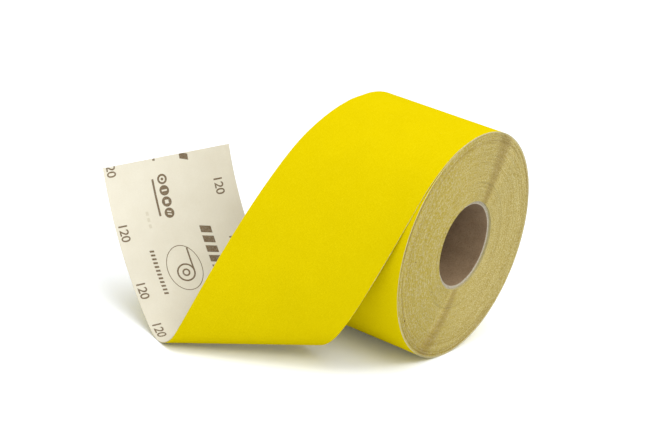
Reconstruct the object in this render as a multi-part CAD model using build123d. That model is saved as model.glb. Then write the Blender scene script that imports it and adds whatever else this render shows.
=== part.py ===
from build123d import *
import math
import os

# A roll of coated abrasive paper on a cardboard core, with its free end unrolled,
# folded under and standing up beside the roll. Millimetres, +Z up.
# The origin is the centre of the core's bore, +Y runs along the core, and the
# loose strip goes down towards -X to a floor at z = -ROLL_RADIUS.

# Strip
STRIP_WIDTH = 115.0
GRAIN_THICKNESS = 0.2
BACKING_THICKNESS = 0.3
STRIP_THICKNESS = GRAIN_THICKNESS + BACKING_THICKNESS

# Roll
ROLL_RADIUS = 97.0
TURN_CLEARANCE = 0.4  # between the outer turn and the tight turns under it

# Core
BORE_RADIUS = 35.0
CORE_LENGTH = 111.0
PLY_THICKNESSES = {"core_inner_ply": 1.0, "core_middle_ply": 1.0, "core_outer_ply": 1.0}
CORE_RADIUS = BORE_RADIUS + sum(PLY_THICKNESSES.values())

# Tape that holds the strip's inner end on the core
TAPE_THICKNESS = 0.15
TAPE_LENGTH = 60.0
TAPE_WIDTH = 50.0
TAPE_POCKET_GAP = 0.05

# Outer turn: it ends where the strip leaves the roll, and its other end is
# hidden under the loose strip
RELEASE_ANGLE = 106.6
HIDDEN_GAP_ANGLE = 58.0
HINGE_GAP = 1.0  # between two lengths of strip that bend at a joint

# Loose strip: how it bends at stations along its middle line, measured from
# the release. Each row is the distance, the curvature per metre, and the skew
# of the bend, which is the tangent of its angle to a square-cut line.
BENDS = [
    (0, 0.0, 0.0),
    (40, 9.0, -0.38),
    (80, 7.2, -0.51),
    (130, 4.0, -1.05),
    (170, 6.1, -1.05),
    (205, 4.5, -0.85),
    (230, 27.6, -0.51),
    (260, 26.6, -0.4),
    (310, 4.4, 0.09),
    (440, 5.6, 0.0),
]
CURL_STATION = 215.0  # the tight curl at the floor starts here
FLAP_STATION = 285.0  # the curl ends here, and the flap bends on this line
STRIP_LENGTH = 440.0
STEP = 0.5  # how finely the middle line is followed
SECTION_TURN = 3.0  # degrees of bend between two sections of a solid
SECTION_STEP = 12.0  # the most length between two sections


def along_y(radius, length):
    """A solid cylinder about the roll's axis, centred on the origin."""
    return Rot(90, 0, 0) * Cylinder(radius, length)


def tube(inner_radius, outer_radius, length):
    return along_y(outer_radius, length) - along_y(inner_radius, length + 2)


def sector(inner_radius, outer_radius, length, start_angle, end_angle):
    """A tube's length of arc. Angles are in degrees from +X towards +Z."""
    def rim(radius, angle):
        turn = math.radians(angle)
        return (radius * math.cos(turn), radius * math.sin(turn))

    middle_angle = (start_angle + end_angle) / 2
    outline = [
        ThreePointArc(
            rim(outer_radius, start_angle),
            rim(outer_radius, middle_angle),
            rim(outer_radius, end_angle),
        ),
        Line(rim(outer_radius, end_angle), rim(inner_radius, end_angle)),
        ThreePointArc(
            rim(inner_radius, end_angle),
            rim(inner_radius, middle_angle),
            rim(inner_radius, start_angle),
        ),
        Line(rim(inner_radius, start_angle), rim(outer_radius, start_angle)),
    ]
    profile = Plane.XZ * make_face(Wire(outline))
    return extrude(profile, length / 2, both=True)


def bend_at(station):
    """Curvature per millimetre and skew at a distance from the release."""
    for (s0, k0, e0), (s1, k1, e1) in zip(BENDS, BENDS[1:]):
        if station <= s1:
            break
    share = min((station - s0) / (s1 - s0), 1.0)
    curvature = (k0 + (k1 - k0) * share) / 1000
    skew = e0 + (e1 - e0) * share
    return curvature, skew


def rulings():
    """The straight lines across the loose strip, from the release to its end.

    Each is (distance, bend so far in degrees, middle, direction, inward normal).
    The direction points to the strip's -Y edge and is measured per millimetre
    of strip width, so it is longer than 1 where the bend is skewed.
    """
    release = math.radians(RELEASE_ANGLE)
    middle = Vector(math.cos(release), 0, math.sin(release)) * ROLL_RADIUS
    tangent = Vector(-math.sin(release), 0, math.cos(release))
    side = Vector(0, -1, 0)
    found = []
    turned = 0.0
    count = round(STRIP_LENGTH / STEP)
    for i in range(count + 1):
        skew = bend_at(i * STEP)[1]
        normal = tangent.cross(side) * -1
        found.append((i * STEP, turned, middle, side + tangent * skew, normal))
        curvature, skew = bend_at((i + 0.5) * STEP)
        spin = (tangent * skew + side) * curvature
        degrees = math.degrees(spin.length * STEP)
        if degrees > 0:
            axis = Axis((0, 0, 0), spin)
            half_way = tangent.rotate(axis, degrees / 2)
            tangent = tangent.rotate(axis, degrees)
            side = side.rotate(axis, degrees)
        else:
            half_way = tangent
        middle = middle + half_way * STEP
        turned += degrees
    return found


def strip_solid(lines, start, end, top, bottom):
    """The layer of the loose strip between two depths under its grain face."""
    chosen = []
    last_station, last_turned = None, None
    inside = [line for line in lines if start <= line[0] <= end]
    for line in inside:
        station, turned = line[0], line[1]
        first = last_station is None
        far_enough = not first and (
            turned - last_turned >= SECTION_TURN
            or station - last_station >= SECTION_STEP
        )
        if first or far_enough or line is inside[-1]:
            chosen.append(line)
            last_station, last_turned = station, turned
    sections = []
    for _, _, middle, direction, normal in chosen:
        half = direction * (STRIP_WIDTH / 2)
        corners = [
            middle + half + normal * top,
            middle - half + normal * top,
            middle - half + normal * bottom,
            middle + half + normal * bottom,
        ]
        sections.append(Wire.make_polygon(corners, close=True))
    return Solid.make_loft(sections, ruled=True)


def core():
    """The cardboard core's plies, one glued over the other."""
    parts = {}
    radius = BORE_RADIUS
    for name, thickness in PLY_THICKNESSES.items():
        parts[name] = tube(radius, radius + thickness, CORE_LENGTH)
        radius += thickness
    return parts


def tape_and_pack(pack_radius):
    """The starting tape on the core, and the tight turns with room for it."""
    half_angle = math.degrees(TAPE_LENGTH / 2 / CORE_RADIUS)
    pocket_angle = math.degrees((TAPE_LENGTH / 2 + TAPE_POCKET_GAP) / CORE_RADIUS)
    tape_radius = CORE_RADIUS + TAPE_THICKNESS
    tape = sector(
        CORE_RADIUS, tape_radius, TAPE_WIDTH, 90 - half_angle, 90 + half_angle
    )
    pocket = sector(
        CORE_RADIUS - 1,
        tape_radius + TAPE_POCKET_GAP,
        TAPE_WIDTH + 2 * TAPE_POCKET_GAP,
        90 - pocket_angle,
        90 + pocket_angle,
    )
    pack = tube(CORE_RADIUS, pack_radius, STRIP_WIDTH) - pocket
    return {"start_tape": tape, "wound_pack": pack}


def second_turn(outer_radius):
    """The turn just under the outer one, as its two layers."""
    grain_radius = outer_radius - GRAIN_THICKNESS
    backing_radius = outer_radius - STRIP_THICKNESS
    return {
        "second_turn_grain": tube(grain_radius, outer_radius, STRIP_WIDTH),
        "second_turn_backing": tube(backing_radius, grain_radius, STRIP_WIDTH),
    }


def outer_turn():
    """The last full turn, from its hidden inner end round to the release."""
    gap_at_release = math.degrees(HINGE_GAP / 2 / ROLL_RADIUS)
    start = RELEASE_ANGLE + HIDDEN_GAP_ANGLE - 360
    end = RELEASE_ANGLE - gap_at_release
    grain_radius = ROLL_RADIUS - GRAIN_THICKNESS
    backing_radius = ROLL_RADIUS - STRIP_THICKNESS
    return {
        "outer_turn_grain": sector(grain_radius, ROLL_RADIUS, STRIP_WIDTH, start, end),
        "outer_turn_backing": sector(
            backing_radius, grain_radius, STRIP_WIDTH, start, end
        ),
    }


def loose_strip():
    """The loose strip, its curl and its flap, each as its two layers."""
    lines = rulings()
    spans = {
        "tail": (HINGE_GAP / 2, CURL_STATION),
        "curl": (CURL_STATION, FLAP_STATION - HINGE_GAP / 2),
        "flap": (FLAP_STATION + HINGE_GAP / 2, STRIP_LENGTH),
    }
    parts = {}
    for name, (start, end) in spans.items():
        parts[name + "_grain"] = strip_solid(lines, start, end, 0, GRAIN_THICKNESS)
        parts[name + "_backing"] = strip_solid(
            lines, start, end, GRAIN_THICKNESS, STRIP_THICKNESS
        )
    return parts


def main():
    second_radius = ROLL_RADIUS - STRIP_THICKNESS - TURN_CLEARANCE
    parts = core()
    parts.update(tape_and_pack(second_radius - STRIP_THICKNESS))
    parts.update(second_turn(second_radius))
    parts.update(outer_turn())
    parts.update(loose_strip())
    os.makedirs("parts", exist_ok=True)
    for name, shape in parts.items():
        export_step(shape, f"parts/{name}.step")


main()
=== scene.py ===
import math

import bmesh
import bpy
import numpy as np
from mathutils import Matrix, Vector


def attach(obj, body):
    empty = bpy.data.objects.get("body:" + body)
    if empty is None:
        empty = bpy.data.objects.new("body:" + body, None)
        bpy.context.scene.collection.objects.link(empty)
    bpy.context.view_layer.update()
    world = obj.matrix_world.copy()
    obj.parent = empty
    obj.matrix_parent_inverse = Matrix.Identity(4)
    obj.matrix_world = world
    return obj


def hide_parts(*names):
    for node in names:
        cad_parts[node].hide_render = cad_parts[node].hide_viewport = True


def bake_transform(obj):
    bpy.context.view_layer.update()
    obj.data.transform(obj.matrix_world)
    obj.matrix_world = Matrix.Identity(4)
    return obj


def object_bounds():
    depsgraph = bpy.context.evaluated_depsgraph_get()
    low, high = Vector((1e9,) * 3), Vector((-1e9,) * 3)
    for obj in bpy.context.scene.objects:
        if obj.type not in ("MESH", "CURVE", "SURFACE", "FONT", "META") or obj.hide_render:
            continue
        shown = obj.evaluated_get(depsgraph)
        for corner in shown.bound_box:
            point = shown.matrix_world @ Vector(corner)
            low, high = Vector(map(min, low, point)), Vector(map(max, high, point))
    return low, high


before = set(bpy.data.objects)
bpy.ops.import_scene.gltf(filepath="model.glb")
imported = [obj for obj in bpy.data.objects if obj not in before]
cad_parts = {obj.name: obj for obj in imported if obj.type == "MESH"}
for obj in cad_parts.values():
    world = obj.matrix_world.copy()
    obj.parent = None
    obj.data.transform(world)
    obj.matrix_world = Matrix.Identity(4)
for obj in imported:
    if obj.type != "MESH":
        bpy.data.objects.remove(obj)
cad_low, cad_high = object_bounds()

# A roll of yellow abrasive paper on a cardboard core. Metres, in the CAD frame:
# the origin is the centre of the bore, +Y runs along the core.

MM = 0.001

# Strip, as in the CAD model
STRIP_WIDTH = 115 * MM
GRAIN_THICKNESS = 0.2 * MM
BACKING_THICKNESS = 0.3 * MM
STRIP_THICKNESS = GRAIN_THICKNESS + BACKING_THICKNESS
ROLL_RADIUS = 97 * MM
RELEASE_ANGLE = math.radians(106.6)
STRIP_LENGTH = 440 * MM
CURL_STATION = 215 * MM
FLAP_STATION = 285 * MM
# How the strip bends along its middle line. Each row is the distance from the
# release in mm, the curvature per metre, and the skew of the bend.
BENDS = [
    (0, 0.0, 0.0),
    (40, 9.0, -0.38),
    (80, 7.2, -0.51),
    (130, 4.0, -1.05),
    (170, 6.1, -1.05),
    (205, 4.5, -0.85),
    (230, 27.6, -0.51),
    (260, 26.6, -0.4),
    (310, 4.4, 0.09),
    (440, 5.6, 0.0),
]

# Core
BORE_RADIUS = 35 * MM
CORE_RADIUS = 38 * MM
CORE_LENGTH = 111 * MM

# Wound turns
PACK_RADIUS = 95.7 * MM
TURN_PITCH = 0.5 * MM

random = np.random.default_rng(120)


# ---------------------------------------------------------------- strip shape

def turned(vector, axis, angle):
    """A vector turned about a unit axis."""
    along = axis * axis.dot(vector)
    return (
        along
        + (vector - along) * math.cos(angle)
        + np.cross(axis, vector) * math.sin(angle)
    )


def ease(share):
    """Eases from 0 to 1."""
    share = np.clip(share, 0, 1)
    return share * share * (3 - 2 * share)


# The far edge springs off the roll a little early. Distances past the release.
LIFT = 3.5 * MM
LIFT_START = -20 * MM
LIFT_PEAK = 15 * MM
LIFT_END = 85 * MM


def lift(s, across):
    """How far the strip stands off its even bend, at a distance past the release."""
    rise = ease((s - LIFT_START) / (LIFT_PEAK - LIFT_START))
    fall = ease((s - LIFT_PEAK) / (LIFT_END - LIFT_PEAK))
    far = np.clip(0.5 - across / STRIP_WIDTH, 0, 1) ** 1.5
    return LIFT * (rise - fall) * far


class LooseStrip:
    """The bent strip's middle line and rulings, worked out from BENDS."""

    STEP = 0.5 * MM
    GUESSES = 30  # at the ruling that passes through a place

    def __init__(self):
        table = np.array(BENDS)
        self.stations = table[:, 0] * MM
        self.curvatures = table[:, 1]
        self.skews = table[:, 2]
        self.s = np.arange(round(STRIP_LENGTH / self.STEP) + 1) * self.STEP
        self.follow()

    def skew(self, s):
        return np.interp(s, self.stations, self.skews)

    def follow(self):
        """Walks along the strip in short steps, turning about each ruling."""
        middle = ROLL_RADIUS * np.array(
            [math.cos(RELEASE_ANGLE), 0, math.sin(RELEASE_ANGLE)]
        )
        tangent = np.array([-math.sin(RELEASE_ANGLE), 0, math.cos(RELEASE_ANGLE)])
        side = np.array([0.0, -1.0, 0.0])
        rows = []
        for s in self.s:
            rows.append((middle, tangent, side, np.cross(side, tangent)))
            half_way = s + self.STEP / 2
            curvature = np.interp(half_way, self.stations, self.curvatures)
            spin = side + tangent * self.skew(half_way)
            size = np.linalg.norm(spin)
            angle = curvature * size * self.STEP
            axis = spin / size
            middle = middle + turned(tangent, axis, angle / 2) * self.STEP
            tangent = turned(tangent, axis, angle)
            side = turned(side, axis, angle)
        self.middle, self.tangent, self.side, self.normal = (
            np.array(column) for column in zip(*rows)
        )

    def frames(self, s):
        """The middle line's points and their three directions, at distances s."""
        return [
            np.stack([np.interp(s, self.s, part[:, k]) for k in range(3)], -1)
            for part in (self.middle, self.tangent, self.side, self.normal)
        ]

    def at(self, along, across, depth):
        """Points at flat places on the strip, at a depth under its grain face.

        It finds the ruling that passes through each place by repeated guesses,
        and leaves out the far edge's lift, which ends before any print.
        """
        along, across, depth = np.broadcast_arrays(along, across, depth)
        shape = along.shape
        along, across, depth = along.ravel(), across.ravel(), depth.ravel()
        s = along.copy()
        for _ in range(self.GUESSES):
            s = np.clip(along - across * self.skew(s), 0, self.s[-1])
        middle, tangent, side, normal = self.frames(s)
        skew = self.skew(s)[:, None]
        points = middle + across[:, None] * (side + skew * tangent)
        points = points + depth[:, None] * normal
        return points.reshape(*shape, 3)

    def ruled(self, s, across, depth):
        """Points on the rulings at distances s, with the far edge's lift."""
        middle, tangent, side, normal = (part[:, None, :] for part in self.frames(s))
        skew = self.skew(s)[:, None, None]
        reach = across[:, :, None]
        depth = depth - lift(s[:, None], across)[:, :, None]
        return middle + reach * (side + skew * tangent) + depth * normal


strip = LooseStrip()


# ---------------------------------------------------------------- mesh helpers

def make_object(name, verts, faces, material, smooth_shaded=True):
    """A new object in the scene, from points and the faces that join them."""
    mesh = bpy.data.meshes.new(name)
    mesh.from_pydata([tuple(v) for v in verts], [], faces)
    mesh.update()
    mesh.validate()
    piece = bpy.data.objects.new(name, mesh)
    bpy.context.scene.collection.objects.link(piece)
    mesh.materials.append(material)
    if smooth_shaded:
        mesh.polygons.foreach_set("use_smooth", [True] * len(mesh.polygons))
    return piece


def slab(name, top, bottom, material, edge_material):
    """A closed sheet between two grids of points, with square cut edges."""
    rows, columns = top.shape[:2]
    count = rows * columns
    verts = np.concatenate([top.reshape(-1, 3), bottom.reshape(-1, 3)])
    faces = []
    for i in range(rows - 1):
        for j in range(columns - 1):
            a = i * columns + j
            b, c, d = a + 1, a + columns + 1, a + columns
            faces.append((a, b, c, d))
            faces.append((a + count, d + count, c + count, b + count))
    rim = list(range(columns))
    rim += [i * columns + columns - 1 for i in range(1, rows)]
    rim += [(rows - 1) * columns + j for j in range(columns - 2, -1, -1)]
    rim += [i * columns for i in range(rows - 2, 0, -1)]
    sheet_faces = len(faces)
    for a, b in zip(rim, rim[1:] + rim[:1]):
        faces.append((b, a, a + count, b + count))
    piece = make_object(name, verts, faces, material)
    piece.data.materials.append(edge_material)
    is_edge = np.arange(len(faces)) >= sheet_faces
    piece.data.polygons.foreach_set("material_index", is_edge.astype(int))
    sharpen(piece)
    return piece


def sharpen(piece, limit=math.radians(40)):
    """Marks edges sharper than the limit so that smooth shading stops there."""
    work = bmesh.new()
    work.from_mesh(piece.data)
    bmesh.ops.recalc_face_normals(work, faces=work.faces)
    for edge in work.edges:
        edge.smooth = len(edge.link_faces) == 2 and edge.calc_face_angle(0) < limit
    work.to_mesh(piece.data)
    work.free()


def worn_edge(count, amount, spacing=12):
    """A gently uneven line, for the cut edge of a sheet."""
    knots = random.normal(size=count // spacing + 2)
    slow = np.interp(np.arange(count), spacing * np.arange(len(knots)), knots)
    return amount * (0.5 * slow + 0.5 * random.normal(size=count))


# ---------------------------------------------------------------- materials

def new_material(name, roughness):
    """A new material, with its nodes, links and surface shader."""
    material = bpy.data.materials.new(name)
    material.use_nodes = True
    nodes = material.node_tree.nodes
    shader = nodes["Principled BSDF"]
    shader.inputs["Roughness"].default_value = roughness
    shader.inputs["Specular IOR Level"].default_value = 0.3
    return material, nodes, material.node_tree.links, shader


def noise(nodes, links, vector, scale, detail=2.0, roughness=0.5):
    """Soft random values over a place. A larger scale makes finer features."""
    node = nodes.new("ShaderNodeTexNoise")
    node.inputs["Scale"].default_value = scale
    node.inputs["Detail"].default_value = detail
    node.inputs["Roughness"].default_value = roughness
    links.new(vector, node.inputs["Vector"])
    return node.outputs["Fac"]


def ramp(nodes, links, value, stops):
    """Colours picked by a value, from stops of a place and a colour."""
    node = nodes.new("ShaderNodeValToRGB")
    elements = node.color_ramp.elements
    while len(elements) < len(stops):
        elements.new(0.5)
    for element, (place, colour) in zip(elements, stops):
        element.position = place
        element.color = (*colour, 1)
    links.new(value, node.inputs["Fac"])
    return node.outputs["Color"]


def mixed(nodes, links, kind, share, first, second):
    """Blends two colours. Share is a number or a socket.

    The node's colour sockets share their names with others, so they're numbered.
    """
    node = nodes.new("ShaderNodeMix")
    node.data_type = "RGBA"
    node.blend_type = kind
    if isinstance(share, (int, float)):
        node.inputs["Factor"].default_value = share
    else:
        links.new(share, node.inputs["Factor"])
    for value, place in ((first, 6), (second, 7)):
        if isinstance(value, tuple):
            node.inputs[place].default_value = (*value, 1)
        else:
            links.new(value, node.inputs[place])
    return node.outputs[2]


def bump(nodes, links, shader, height, strength, distance):
    """Roughens the shaded surface by a height."""
    node = nodes.new("ShaderNodeBump")
    node.inputs["Strength"].default_value = strength
    node.inputs["Distance"].default_value = distance
    links.new(height, node.inputs["Height"])
    links.new(node.outputs["Normal"], shader.inputs["Normal"])


def object_place(nodes):
    """A place in the piece's own coordinates, so looks move with the piece."""
    return nodes.new("ShaderNodeTexCoord").outputs["Object"]


def grain_material():
    """Yellow resin and grit: a fine sparkle on a faintly uneven coat."""
    material, nodes, links, shader = new_material("grain_coat", 0.9)
    shader.inputs["Specular IOR Level"].default_value = 0.0
    place = object_place(nodes)
    patches = noise(nodes, links, place, 28, 3)
    wash = ramp(
        nodes, links, patches,
        [(0.3, (0.553, 0.432, 0.0)), (0.7, (0.603, 0.477, 0.0))],
    )
    specks = noise(nodes, links, place, 1700, 2, 0.6)
    grit = ramp(
        nodes, links, specks,
        [(0.30, (0.48, 0.36, 0.0)), (0.52, (0.585, 0.462, 0.0)), (0.78, (0.74, 0.63, 0.02))],
    )
    colour = mixed(nodes, links, "MIX", 0.55, wash, grit)
    links.new(colour, shader.inputs["Base Color"])
    bump(nodes, links, shader, specks, 0.55, 0.15 * MM)
    return material


def backing_material():
    """Cream kraft paper with a soft fibre figure."""
    material, nodes, links, shader = new_material("paper_backing", 0.85)
    place = object_place(nodes)
    clouds = noise(nodes, links, place, 60, 4)
    base = ramp(
        nodes, links, clouds,
        [(0.3, (0.670, 0.628, 0.505)), (0.7, (0.710, 0.673, 0.555))],
    )
    fibres = noise(nodes, links, place, 1400, 3, 0.7)
    tint = ramp(
        nodes, links, fibres,
        [(0.35, (0.63, 0.582, 0.456)), (0.65, (0.733, 0.70, 0.593))],
    )
    colour = mixed(nodes, links, "MIX", 0.35, base, tint)
    links.new(colour, shader.inputs["Base Color"])
    bump(nodes, links, shader, fibres, 0.3, 0.08 * MM)
    return material


def math_node(nodes, links, kind, *values):
    """The result of one sum, on numbers or sockets."""
    node = nodes.new("ShaderNodeMath")
    node.operation = kind
    for socket, value in zip(node.inputs, values):
        if isinstance(value, (int, float)):
            socket.default_value = value
        else:
            links.new(value, socket)
    return node.outputs[0]


def polar(nodes, links):
    """The X, Z, radius and angle of a place about the roll's axis."""
    place = nodes.new("ShaderNodeSeparateXYZ")
    links.new(object_place(nodes), place.inputs[0])
    x, z = place.outputs["X"], place.outputs["Z"]
    square = math_node(
        nodes, links, "ADD",
        math_node(nodes, links, "MULTIPLY", x, x),
        math_node(nodes, links, "MULTIPLY", z, z),
    )
    radius = math_node(nodes, links, "SQRT", square)
    angle = math_node(nodes, links, "ARCTAN2", z, x)
    return x, z, radius, angle


def ring_place(nodes, links, around, across):
    """Coordinates that follow the turns: slow round the roll, quick outwards."""
    x, z, radius, _ = polar(nodes, links)
    joined = nodes.new("ShaderNodeCombineXYZ")
    for name, value, scale in (("X", x, around), ("Y", z, around)):
        share = math_node(nodes, links, "DIVIDE", value, radius)
        links.new(math_node(nodes, links, "MULTIPLY", share, scale), joined.inputs[name])
    links.new(math_node(nodes, links, "MULTIPLY", radius, across), joined.inputs["Z"])
    return joined.outputs[0]


def painted_sheen_streak(nodes, links, colour, start, drift, spread, tint):
    """Paints a narrow spoke of the end face darker, or lighter where the tint is above one:
    painted shade and painted highlight in place of the sheen of light across the grooves of the
    turns.

    Start is its angle in degrees at the axis, and drift how many degrees it
    leans for each mm outwards.
    """
    _, _, radius, angle = polar(nodes, links)
    lean = math_node(nodes, links, "MULTIPLY", radius, math.radians(drift) / MM)
    aside = math_node(
        nodes, links, "SUBTRACT",
        math_node(nodes, links, "SUBTRACT", angle, math.radians(start)),
        lean,
    )
    facing = math_node(nodes, links, "COSINE", aside)
    outer = math.cos(math.radians(spread))
    inner = math.cos(math.radians(spread / 5))
    spoke = ramp(nodes, links, facing, [(outer, (1, 1, 1)), (inner, tint)])
    return mixed(nodes, links, "MULTIPLY", 1.0, colour, spoke)


def wound_material():
    """Cut edges of many turns: cream paper lines flecked with yellow grain."""
    material, nodes, links, shader = new_material("wound_edges", 0.9)
    rings = noise(nodes, links, ring_place(nodes, links, 2.5, 900), 1.0, 3, 0.65)
    broad = noise(nodes, links, ring_place(nodes, links, 1.2, 140), 1.0, 3, 0.6)
    flecks = noise(nodes, links, ring_place(nodes, links, 60, 1300), 1.0, 2, 0.6)
    patches = noise(nodes, links, object_place(nodes), 620, 3, 0.65)
    base = ramp(
        nodes, links, rings,
        [(0.28, (0.28, 0.20, 0.03)), (0.5, (0.39, 0.305, 0.085)), (0.74, (0.49, 0.43, 0.21))],
    )
    bands = ramp(
        nodes, links, broad,
        [(0.3, (0.33, 0.245, 0.052)), (0.7, (0.455, 0.38, 0.14))],
    )
    colour = mixed(nodes, links, "MIX", 0.45, base, bands)
    lint = ramp(
        nodes, links, flecks,
        [(0.36, (0.22, 0.16, 0.01)), (0.5, (0.39, 0.31, 0.085)), (0.70, (0.61, 0.56, 0.36))],
    )
    colour = mixed(nodes, links, "MIX", 0.5, colour, lint)

    # dust partly hides the fine lines on the -X side
    x, _, radius, _ = polar(nodes, links)
    left = ramp(
        nodes, links, math_node(nodes, links, "ADD", x, 0.5),
        [(0.45, (0.6,) * 3), (0.54, (0.0,) * 3)],
    )
    dust = ramp(
        nodes, links, patches,
        [(0.40, (0.35, 0.265, 0.0)), (0.52, (0.39, 0.31, 0.063)), (0.64, (0.465, 0.405, 0.22))],
    )
    colour = mixed(nodes, links, "MIX", left, colour, dust)

    # the outermost turns lie looser, so their lines are stronger
    loose = ramp(
        nodes, links, noise(nodes, links, ring_place(nodes, links, 1.5, 950), 1.0, 1, 0.5),
        [(0.38, (0.74, 0.68, 0.60)), (0.50, (1.0, 1.0, 1.0)), (0.62, (1.12, 1.12, 1.18))],
    )
    rim = ramp(
        nodes, links, math_node(nodes, links, "MULTIPLY", radius, 10),
        [(0.80, (0,) * 3), (0.93, (0.9,) * 3)],
    )
    colour = mixed(nodes, links, "MULTIPLY", rim, colour, loose)

    specks = noise(nodes, links, object_place(nodes), 260, 1, 0.5)
    dark = ramp(nodes, links, specks, [(0.22, (0.35, 0.25, 0.18)), (0.26, (1, 1, 1))])
    colour = mixed(nodes, links, "MULTIPLY", 1.0, colour, dark)
    # painted shade and painted highlight: dark and bright spokes for the sheen of light across
    # the grooves
    for start, drift, spread, tint in (
        (57.0, 0.12, 8, (0.80, 0.75, 0.68)),
        (47.0, 0.12, 8, (1.08, 1.08, 1.10)),
        (-82.0, -0.35, 8, (0.80, 0.75, 0.69)),
        (-92.0, -0.28, 5, (1.12, 1.12, 1.16)),
    ):
        colour = painted_sheen_streak(nodes, links, colour, start, drift, spread, tint)
    links.new(colour, shader.inputs["Base Color"])
    bump(nodes, links, shader, flecks, 0.6, 0.3 * MM)
    return material


def board_material():
    """Grey-brown core board, mottled with short dark fibres."""
    material, nodes, links, shader = new_material("core_board", 0.9)
    place = object_place(nodes)
    clouds = noise(nodes, links, place, 90, 4)
    base = ramp(
        nodes, links, clouds,
        [(0.3, (0.185, 0.118, 0.062)), (0.7, (0.26, 0.175, 0.100))],
    )
    fibres = noise(nodes, links, place, 900, 4, 0.7)
    tint = ramp(
        nodes, links, fibres,
        [
            (0.30, (0.065, 0.040, 0.023)),
            (0.42, (0.21, 0.145, 0.083)),
            (0.7, (0.32, 0.235, 0.147)),
        ],
    )
    colour = mixed(nodes, links, "MIX", 0.4, base, tint)
    links.new(colour, shader.inputs["Base Color"])
    bump(nodes, links, shader, fibres, 0.4, 0.2 * MM)
    return material


def board_end_material():
    """The core's sawn ends: frayed and dusty, much paler than its faces."""
    material, nodes, links, shader = new_material("board_end", 0.9)
    fibres = noise(nodes, links, object_place(nodes), 1400, 3, 0.7)
    colour = ramp(
        nodes, links, fibres,
        [(0.3, (0.27, 0.22, 0.15)), (0.5, (0.38, 0.34, 0.25)), (0.7, (0.50, 0.46, 0.37))],
    )
    links.new(colour, shader.inputs["Base Color"])
    bump(nodes, links, shader, fibres, 0.4, 0.2 * MM)
    return material


def cut_edge_material():
    """The strip's cut edge: paper and resin together, a dusty straw colour. It is also painted
    shade on the inside of the wound turns.
    """
    material, nodes, links, shader = new_material("cut_edge", 0.9)
    fibres = noise(nodes, links, object_place(nodes), 2200, 2, 0.6)
    colour = ramp(
        nodes, links, fibres,
        [(0.35, (0.37, 0.30, 0.10)), (0.65, (0.50, 0.45, 0.25))],
    )
    links.new(colour, shader.inputs["Base Color"])
    return material


def tape_material():
    """Creased brown paper tape."""
    material, nodes, links, shader = new_material("start_tape", 0.6)
    creases = noise(nodes, links, object_place(nodes), 500, 3)
    colour = ramp(
        nodes, links, creases,
        [(0.35, (0.55, 0.43, 0.22)), (0.65, (0.66, 0.54, 0.30))],
    )
    links.new(colour, shader.inputs["Base Color"])
    bump(nodes, links, shader, creases, 0.3, 0.1 * MM)
    return material


def ink_material(name, colour):
    """Thin ink that lets the paper's fibres show through."""
    material, nodes, links, shader = new_material(name, 0.8)
    fibres = noise(nodes, links, object_place(nodes), 1600, 3, 0.7)
    pale = tuple(0.6 * c + 0.4 * p for c, p in zip(colour, (0.74, 0.69, 0.55)))
    shade = ramp(nodes, links, fibres, [(0.45, colour), (0.75, pale)])
    links.new(shade, shader.inputs["Base Color"])
    return material


GRAIN = grain_material()
BACKING = backing_material()
WOUND = wound_material()
BOARD = board_material()
BOARD_END = board_end_material()
CUT_EDGE_AND_SHADE = cut_edge_material()
TAPE = tape_material()
INK = ink_material("ink", (0.135, 0.088, 0.042))
FAINT_INK = ink_material("faint_ink", (0.60, 0.555, 0.43))


# ---------------------------------------------------------------- loose strip

GRAIN_INSET = 0.08 * MM  # the grain stops just short of the cut paper edge
EDGE_WEAR = 0.06 * MM
ACROSS_COLUMNS = 30
FOLD_BEND_BEFORE = 12 * MM  # and from here before the fold's hinge line
FOLD_BEND_AFTER = 14 * MM  # to here past it


def strip_layers(name, start, end, pitch=2 * MM):
    """The grain coat and the paper backing of a length of the loose strip."""
    rows = round((end - start) / pitch) + 1
    s = np.linspace(start, end, rows)
    shares = np.linspace(-1, 1, ACROSS_COLUMNS)[None, :]
    half_paper = STRIP_WIDTH / 2 * np.ones((rows, 1))
    across_paper = shares * half_paper
    across_grain = across_paper.copy()
    across_grain[:, 0] += GRAIN_INSET + np.abs(worn_edge(rows, EDGE_WEAR))
    across_grain[:, -1] -= GRAIN_INSET + np.abs(worn_edge(rows, EDGE_WEAR))
    grain = slab(
        name + "_grain_coat",
        strip.ruled(s, across_grain, 0),
        strip.ruled(s, across_grain, GRAIN_THICKNESS),
        GRAIN,
        CUT_EDGE_AND_SHADE,
    )
    backing = slab(
        name + "_paper_backing",
        strip.ruled(s, across_paper, GRAIN_THICKNESS),
        strip.ruled(s, across_paper, STRIP_THICKNESS),
        BACKING,
        CUT_EDGE_AND_SHADE,
    )
    return grain, backing


def loose_strip():
    """The strip from the release to its free end, in two pieces that meet at the curl.

    It returns the two ends of the bend at the fold.
    """
    upper = strip_layers("loose", 0, CURL_STATION)
    for piece in upper:
        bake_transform(piece)
    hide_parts("tail_grain")
    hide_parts("tail_backing")

    hinge_row = round(FLAP_STATION / strip.STEP)
    hinge = strip.middle[hinge_row]
    ruling = strip.side[hinge_row] + strip.tangent[hinge_row] * strip.skew(FLAP_STATION)
    ruling = ruling / np.linalg.norm(ruling)
    onward = np.cross(ruling, strip.normal[hinge_row])
    if onward.dot(strip.tangent[hinge_row]) < 0:
        onward = -onward
    start = hinge - onward * FOLD_BEND_BEFORE
    end = hinge + onward * FOLD_BEND_AFTER
    lower = strip_layers("curled_end", CURL_STATION, STRIP_LENGTH)
    for piece in lower:
        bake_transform(piece)
    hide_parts("curl_grain", "flap_grain")
    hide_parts("curl_backing", "flap_backing")
    return start, end


curl_start, curl_end = loose_strip()


# ---------------------------------------------------------------- outer turns

LOWER_TURN_RADIUS = 96.4 * MM
# Angles back from the release: where the turn starts to dip under the loose
# strip, where it has dipped, and where the turn under it ends
DUCK_START = math.radians(262)
DUCK_END = math.radians(316)
OUTER_SWEEP = math.radians(620)
OUTER_ROWS = 620
OUTER_COLUMNS = 9


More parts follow.
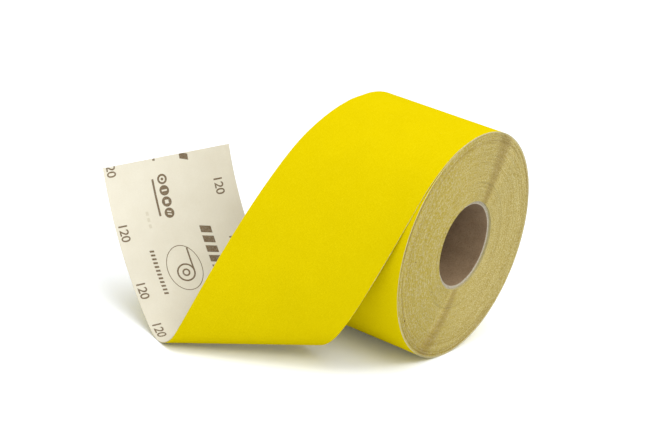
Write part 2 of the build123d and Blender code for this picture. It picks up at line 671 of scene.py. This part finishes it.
def outer_radius(back):
    """Radius of the outer turn's grain face, at an angle back from the release."""
    ducked = ease((back - DUCK_START) / (DUCK_END - DUCK_START))
    return ROLL_RADIUS + (LOWER_TURN_RADIUS - ROLL_RADIUS) * ducked


def outer_layers():
    """The outer turn and the turn under it, as one winding of two layers."""
    back = np.linspace(0, OUTER_SWEEP, OUTER_ROWS)
    angle = RELEASE_ANGLE - back
    shares = np.linspace(-1, 1, OUTER_COLUMNS)[None, :]

    def grid(depth, inset, wear):
        half = STRIP_WIDTH / 2 * np.ones((OUTER_ROWS, 1)) - inset
        y = shares * half
        y[:, 0] += np.abs(worn_edge(OUTER_ROWS, wear))
        y[:, -1] -= np.abs(worn_edge(OUTER_ROWS, wear))
        radius = (outer_radius(back) - depth)[:, None]
        radius = radius + lift(-back[:, None] * ROLL_RADIUS, -y)
        x = np.cos(angle)[:, None] * radius
        z = np.sin(angle)[:, None] * radius
        return np.stack([x, y, z], -1)

    # the grain's two faces share one worn edge, so the same draws serve both
    state = random.bit_generator.state
    grain_top = grid(0, GRAIN_INSET, EDGE_WEAR)
    random.bit_generator.state = state
    grain_low = grid(GRAIN_THICKNESS, GRAIN_INSET, EDGE_WEAR)
    grain = slab("outer_turn_grain_coat", grain_top, grain_low, GRAIN, CUT_EDGE_AND_SHADE)
    backing = slab(
        "outer_turn_paper_backing",
        grid(GRAIN_THICKNESS, 0, 0),
        grid(STRIP_THICKNESS, 0, 0),
        BACKING,
        CUT_EDGE_AND_SHADE,
    )
    for piece, slot_name, node in (
        (grain, "grain_coat", "outer_turn_grain"),
        (backing, "paper_backing", "outer_turn_backing"),
    ):
        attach(piece, "outer_turn")
        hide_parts(node)


outer_layers()


# ---------------------------------------------------------------- wound turns

TURN_STEPS = 120
LOOSE_TURNS = 16  # the outermost turns sit a little apart
RIDGE_SHARES = (0.0, 0.22, 0.85)  # groove, then the two corners of the cut edge
TURN_INSET = 0.12 * MM  # the turns stop just short of the outer turn's edge
PUSH = 0.05 * MM  # how unevenly the turns' cut edges stand
STRAY_PUSH = 0.20 * MM  # and how much more so on a few stray turns
STRAY_SHARE = 0.08
PUSH_LIMITS = (-0.4 * MM, 0.12 * MM)
GROOVE = 0.16 * MM
DEEP_GROOVE = 0.5 * MM  # added on a few turns
DEEP_SHARE = 0.1
LOOSE_GROOVE = 1.0 * MM  # added where the turns are loose


def ring_noise(turns, steps, spacing):
    """Smooth noise that runs on along the winding from turn to turn."""
    count = turns * steps
    knots = random.normal(size=count // spacing + 3)
    line = np.interp(np.arange(count) / spacing, np.arange(len(knots)), knots)
    return line.reshape(turns, steps)


def edge_levels(turns):
    """How far each turn's cut edge stands proud, and how deep its groove is."""
    push = PUSH * random.normal(size=(turns, 1))
    push = push + PUSH * ring_noise(turns, TURN_STEPS, 7)
    stray = random.random(turns) > 1 - STRAY_SHARE
    push[stray] += STRAY_PUSH * ring_noise(turns, TURN_STEPS, 25)[stray]
    push = np.clip(push, *PUSH_LIMITS)
    groove = GROOVE * (0.5 + random.random((turns, 1)))
    deep = random.random(turns) > 1 - DEEP_SHARE
    groove[deep] += DEEP_GROOVE
    loose = np.clip(1 - (turns - 1 - np.arange(turns)) / LOOSE_TURNS, 0, 1)[:, None]
    groove = groove + LOOSE_GROOVE * loose * random.random((turns, 1)) ** 2
    return push, groove


def end_rings(side, turns):
    """Rings of points over one end of the tight turns, from the core outwards."""
    pitch = (PACK_RADIUS - CORE_RADIUS) / turns
    angle = np.linspace(0, 2 * math.pi, TURN_STEPS, endpoint=False)
    end_level = STRIP_WIDTH / 2 - TURN_INSET
    push, groove = edge_levels(turns)

    def ring(radius, level):
        return np.stack([radius * np.cos(angle), side * level, radius * np.sin(angle)], -1)

    rings = []
    for i in range(turns):
        for k, share in enumerate(RIDGE_SHARES):
            level = end_level + push[i] - (groove[i] if k == 0 else 0)
            rings.append(ring(CORE_RADIUS + i * pitch + share * pitch, level))
    rings.append(ring(PACK_RADIUS, end_level + push[-1]))
    return rings


def wound_turns():
    """The tight turns, whose cut edges make fine rings on each end."""
    turns = round((PACK_RADIUS - CORE_RADIUS) / TURN_PITCH)
    rows = end_rings(-1, turns)
    rows += end_rings(1, turns)[::-1]
    starts = [i * TURN_STEPS for i in range(len(rows))]
    faces = []
    for a, b in zip(starts, starts[1:] + starts[:1]):
        for j in range(TURN_STEPS):
            k = (j + 1) % TURN_STEPS
            faces.append((a + j, a + k, b + k, b + j))
    kinds = [0] * len(rows)  # the cut ends
    kinds[len(rows) // 2 - 1] = 1  # the outside
    kinds[-1] = 2  # the inside: its cream backing takes the darker cut-edge colour as painted shade in the recess at the core's ends
    verts = np.concatenate(rows)
    piece = make_object("wound_turns", verts, faces, WOUND, smooth_shaded=False)
    piece.data.materials.append(GRAIN)
    piece.data.materials.append(CUT_EDGE_AND_SHADE)
    piece.data.polygons.foreach_set("material_index", np.repeat(kinds, TURN_STEPS))
    work = bmesh.new()
    work.from_mesh(piece.data)
    bmesh.ops.recalc_face_normals(work, faces=work.faces)
    work.to_mesh(piece.data)
    work.free()
    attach(piece, "roll")
    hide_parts("wound_pack", "second_turn_grain", "second_turn_backing")


wound_turns()


# ---------------------------------------------------------------- core

CORE_STEPS = 240
CORE_ROWS = 112
SEAM_PITCH = 95 * MM
SEAM_WIDTH = 1.2 * MM
SEAM_DEPTH = 0.35 * MM
BORE_ROUGHNESS = 0.03 * MM
END_ROUGHNESS = 0.06 * MM
WORN_LIP = 0.6 * MM  # how far in the bore's rim is worn
WORN_DEPTH = 0.25 * MM
RIM_STEP = 0.02 * MM  # keeps each end's first ring outside the bore's last one
# Over each end: distances out from the bore, and how far the board dips there,
# at the joints between plies. Both in mm.
PLY_PLACES = [0.0, 1.0, 1.05, 2.0, 2.05, 3.0]
PLY_DIPS = [0.0, 0.0, 0.18, 0.0, 0.18, 0.0]


def bore_surface(angle):
    """Radius and Y of the bore's points, with the seam and the worn rims."""
    level = np.linspace(-CORE_LENGTH / 2, CORE_LENGTH / 2, CORE_ROWS)
    a, y = np.meshgrid(angle, level)
    phase = (y / SEAM_PITCH - a / (2 * math.pi)) % 1.0
    distance = np.minimum(phase, 1 - phase) * SEAM_PITCH
    dip = SEAM_DEPTH * np.exp(-((distance / SEAM_WIDTH) ** 2))
    inner = BORE_RADIUS + dip + BORE_ROUGHNESS * random.normal(size=a.shape)
    worn = np.abs(y) > CORE_LENGTH / 2 - WORN_LIP
    inner[worn] += WORN_DEPTH
    return inner, y


def core_tube():
    """The board core, with the slanted seam of its innermost ply in the bore."""
    angle = np.linspace(0, 2 * math.pi, CORE_STEPS, endpoint=False)
    inner, y = bore_surface(angle)
    verts, starts = [], []

    def add_row(radius, height):
        starts.append(len(verts))
        for t, r, h in zip(angle, radius, height):
            verts.append((r * math.cos(t), h, r * math.sin(t)))

    for radius, height in zip(inner, y):
        add_row(radius, height)
    rough = END_ROUGHNESS * random.normal(size=(2, len(PLY_PLACES), CORE_STEPS))
    outwards = list(enumerate(zip(PLY_PLACES, PLY_DIPS)))
    for end, side, rim, order in (
        (0, 1, inner[-1], outwards),
        (1, -1, inner[0], outwards[::-1]),
    ):
        for k, (place, dip) in order:
            radius = np.full(CORE_STEPS, BORE_RADIUS + place * MM)
            radius = np.maximum(radius, rim + RIM_STEP)
            height = CORE_LENGTH / 2 - dip * MM - np.abs(rough[end, k])
            add_row(radius, side * height)
    faces = []
    for p, q in zip(starts, starts[1:] + starts[:1]):
        for j in range(CORE_STEPS):
            k = (j + 1) % CORE_STEPS
            faces.append((p + j, q + j, q + k, p + k))
    piece = make_object("board_core", verts, faces, BOARD)
    piece.data.materials.append(BOARD_END)
    for face in piece.data.polygons:
        face.material_index = int(abs(face.normal.y) > 0.7)
    sharpen(piece, math.radians(50))
    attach(piece, "roll")
    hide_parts("core_inner_ply", "core_middle_ply", "core_outer_ply")


core_tube()

# The hidden tape keeps its CAD shape
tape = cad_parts["start_tape"]
for slot_in_tape in tape.material_slots:
    slot_in_tape.material = TAPE


# ---------------------------------------------------------------- prints

PRINT_LIFT = 0.04 * MM  # how far the ink stands off the paper
PRINT_TRIM = 0.2  # mm that a cut print stops short of the strip's end


def flat_mesh(outlines, name):
    """A flat filled shape from closed outlines in millimetres; inner ones cut holes."""
    curve = bpy.data.curves.new(name, "CURVE")
    curve.dimensions = "2D"
    curve.fill_mode = "BOTH"
    for outline in outlines:
        spline = curve.splines.new("POLY")
        spline.points.add(len(outline) - 1)
        for point, (x, y) in zip(spline.points, outline):
            point.co = (x, y, 0, 1)
        spline.use_cyclic_u = True
    return curve_to_mesh(curve, name)


def text_mesh(text, size, name, spacing=1.0):
    """Flat digits, centred, with a size in millimetres."""
    curve = bpy.data.curves.new(name, "FONT")
    curve.body = text
    curve.size = size
    curve.space_character = spacing
    curve.align_x = "CENTER"
    curve.align_y = "CENTER"
    curve.offset = 0.012 * size
    return curve_to_mesh(curve, name)


def curve_to_mesh(curve, name):
    """The filled mesh of a curve, which is then removed."""
    holder = bpy.data.objects.new(name + "_outline", curve)
    bpy.context.scene.collection.objects.link(holder)
    bpy.context.view_layer.update()
    mesh = bpy.data.meshes.new_from_object(holder)
    bpy.data.objects.remove(holder)
    return mesh


def printed(name, mesh, from_end, across, material, cell=2.5):
    """Lays a flat shape, in mm, on the paper side of the strip as thin ink.

    It reads from the free end towards the roll. From_end and across, in mm, are
    its centre from the strip's end and its middle line. What would pass the end
    is cut off. Edges longer than a cell, in mm, are split so that the ink bends
    with the strip.
    """
    work = bmesh.new()
    work.from_mesh(mesh)
    bmesh.ops.bisect_plane(
        work,
        geom=work.verts[:] + work.edges[:] + work.faces[:],
        plane_co=(PRINT_TRIM - from_end, 0, 0),
        plane_no=(-1, 0, 0),
        clear_outer=True,
    )
    bmesh.ops.triangulate(work, faces=work.faces)
    for _ in range(6):
        long_edges = [e for e in work.edges if e.calc_length() > cell]
        if not long_edges:
            break
        bmesh.ops.subdivide_edges(work, edges=long_edges, cuts=1)
        bmesh.ops.triangulate(work, faces=work.faces)
    flat = np.array([v.co for v in work.verts])
    along = STRIP_LENGTH - (from_end + flat[:, 0]) * MM
    points = strip.at(along, (across + flat[:, 1]) * MM, STRIP_THICKNESS + PRINT_LIFT)
    for vert, point in zip(work.verts, points):
        vert.co = point
    bmesh.ops.recalc_face_normals(work, faces=work.faces)
    bent = bpy.data.meshes.new(name)
    work.to_mesh(bent)
    work.free()
    bent.materials.append(material)
    piece = bpy.data.objects.new(name, bent)
    bpy.context.scene.collection.objects.link(piece)
    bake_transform(piece)


def circle(radius, x=0.0, stretch=1.0, count=40):
    """A round outline, or an oval one where it is stretched along X."""
    return [
        (
            x + stretch * radius * math.cos(2 * math.pi * i / count),
            radius * math.sin(2 * math.pi * i / count),
        )
        for i in range(count)
    ]


def slanted_bar(x, width, bottom, top, slant):
    """A leaning bar's outline, for a plain decorative mark."""
    return [
        (x, bottom),
        (x + width, bottom),
        (x + width + slant, top),
        (x + slant, top),
    ]


def grade_numbers():
    """The grit grade, repeated in a column along each side of the strip."""
    columns = {"left": (-51.5, (1.2, 55.2, 105.5, 143)), "right": (41.0, (32.2, 82.5))}
    for column, (across, places) in columns.items():
        for i, from_end in enumerate(places):
            name = f"{column}_grade_{i + 1}"
            printed(name, text_mesh("120", 11.0, name, 0.96), from_end, across, INK)


def badge(x, kind):
    """A round spot with a plain hole in it."""
    holes = [
        [circle(2.6, x), circle(1.2, x)],
        [slanted_bar(x - 0.7, 1.4, -2.4, 2.4, 0)],
        [slanted_bar(x - 1.6, 3.2, -1.6, 1.6, 0)],
        [slanted_bar(x - 2.2, 1.1, -1.8, 1.8, 1.0), slanted_bar(x + 0.1, 1.1, -1.8, 1.8, 1.0)],
    ]
    return [circle(4.3, x)] + holes[kind]


def plain_marks():
    """Plain shapes between the grade numbers; they stand for nothing."""
    badges = [outline for i in range(4) for outline in badge(9.5 * (i - 1.5), i)]
    printed("spot_row", flat_mesh(badges, "spot_row"), 32.3, -8, INK)
    thin_bar = flat_mesh([slanted_bar(-15.6, 31.2, -0.9, 0.9, 0)], "thin_bar")
    printed("thin_bar", thin_bar, 32.3, -16.5, INK)
    dashes = [slanted_bar(3.4 * i - 20.4, 1.7, -1.9, 1.9, 0.5) for i in range(12)]
    printed("dash_row", flat_mesh(dashes, "dash_row"), 94.5, -32.5, INK)
    faint = [slanted_bar(5.4 * i - 8.1, 3.4, -1.2, 1.2, 0) for i in range(3)]
    printed("faint_dashes", flat_mesh(faint, "faint_dashes"), 50, -27.5, FAINT_INK)
    bars = [slanted_bar(8.8 * i - 22, 6.0, -4.9, 4.9, 2.4) for i in range(6)]
    printed("leaning_bars", flat_mesh(bars, "leaning_bars"), 84, 19.5, INK)
    end_bars = [slanted_bar(-6, 5.2, -3.8, 3.8, 2.4)]
    printed("end_bar", flat_mesh(end_bars, "end_bar"), 5.0, 14.5, INK)
    printed("end_dot", flat_mesh([slanted_bar(-1, 2, -1, 1, 0)], "end_dot"), 1.0, -12.5, INK)
    oval = [circle(15.3, stretch=1.32), circle(14.7, stretch=1.33)]
    printed("oval_ring", flat_mesh(oval, "oval_ring"), 94.8, -9.5, INK)
    roll = [circle(8.0, 4), circle(6.6, 4), circle(3.4, 4), circle(2.0, 4)]
    printed("roll_sign", flat_mesh(roll, "roll_sign"), 94.8, -9.5, INK)
    tail = [slanted_bar(-17, 21, 6.6, 8.0, 0)]
    printed("roll_sign_tail", flat_mesh(tail, "roll_sign_tail"), 94.8, -9.5, INK)


# ---------------------------------------------------------------- stage

def camera():
    """A long lens on the -X -Y side, a little above the roll and tilted."""
    azimuth, elevation, tilt = map(math.radians, (-57.79, 19.12, 9.67))
    aim = Vector((-34.2, 48.3, -9.1)) * MM
    distance = 1.7216
    back = Vector(
        (
            math.sin(azimuth) * math.cos(elevation),
            -math.cos(azimuth) * math.cos(elevation),
            math.sin(elevation),
        )
    )
    level_right = Vector((0, 0, 1)).cross(back).normalized()
    level_up = back.cross(level_right)
    right = level_right * math.cos(tilt) + level_up * math.sin(tilt)
    up = back.cross(right)
    data = bpy.data.cameras.new("camera")
    data.lens = 111.86
    data.sensor_width = 36
    data.clip_end = 50
    holder = bpy.data.objects.new("camera", data)
    place = Matrix((right, up, back)).transposed().to_4x4()
    place.translation = aim + back * distance
    holder.matrix_world = place
    bpy.context.scene.collection.objects.link(holder)
    bpy.context.scene.camera = holder


FLOOR_REACH = 8.0  # metres, from its middle to each side
FLOOR_GAP = 0.05 * MM


def floor():
    """A plain pale floor. Its faint blue offsets the yellow light off the strip."""
    work = bmesh.new()
    bmesh.ops.create_grid(work, x_segments=8, y_segments=8, size=FLOOR_REACH)
    mesh = bpy.data.meshes.new("floor")
    work.to_mesh(mesh)
    work.free()
    material, _, _, shader = new_material("floor", 0.9)
    shader.inputs["Base Color"].default_value = (0.91, 0.94, 1.0, 1)
    shader.inputs["Emission Color"].default_value = (0.7, 0.8, 1, 1)
    shader.inputs["Emission Strength"].default_value = 0.05
    mesh.materials.append(material)
    piece = bpy.data.objects.new("floor", mesh)
    piece.location.z = cad_low.z - FLOOR_GAP
    bpy.context.scene.collection.objects.link(piece)


def light(name, place, size, power):
    """A round soft light, aimed at the middle of the roll."""
    data = bpy.data.lights.new(name, "AREA")
    data.shape = "DISK"
    data.size = size
    data.energy = power
    holder = bpy.data.objects.new(name, data)
    holder.location = place
    holder.rotation_euler = (-Vector(place)).to_track_quat("-Z", "Y").to_euler()
    bpy.context.scene.collection.objects.link(holder)


def lights():
    """An even white sky, and three soft lights in front, at the right and above."""
    world = bpy.data.worlds.new("studio")
    world.use_nodes = True
    sky = world.node_tree.nodes["Background"]
    sky.inputs["Color"].default_value = (1, 1, 1, 1)
    sky.inputs["Strength"].default_value = 0.82
    bpy.context.scene.world = world
    light("front", (-0.9, -1.1, 1.5), 1.1, 11)
    light("right", (0.8, -1.2, 1.2), 1.0, 14)
    light("top", (-0.4, 0.2, 2.1), 1.4, 17)


grade_numbers()
plain_marks()
camera()
floor()
lights()
bpy.context.scene.view_settings.view_transform = "Standard"
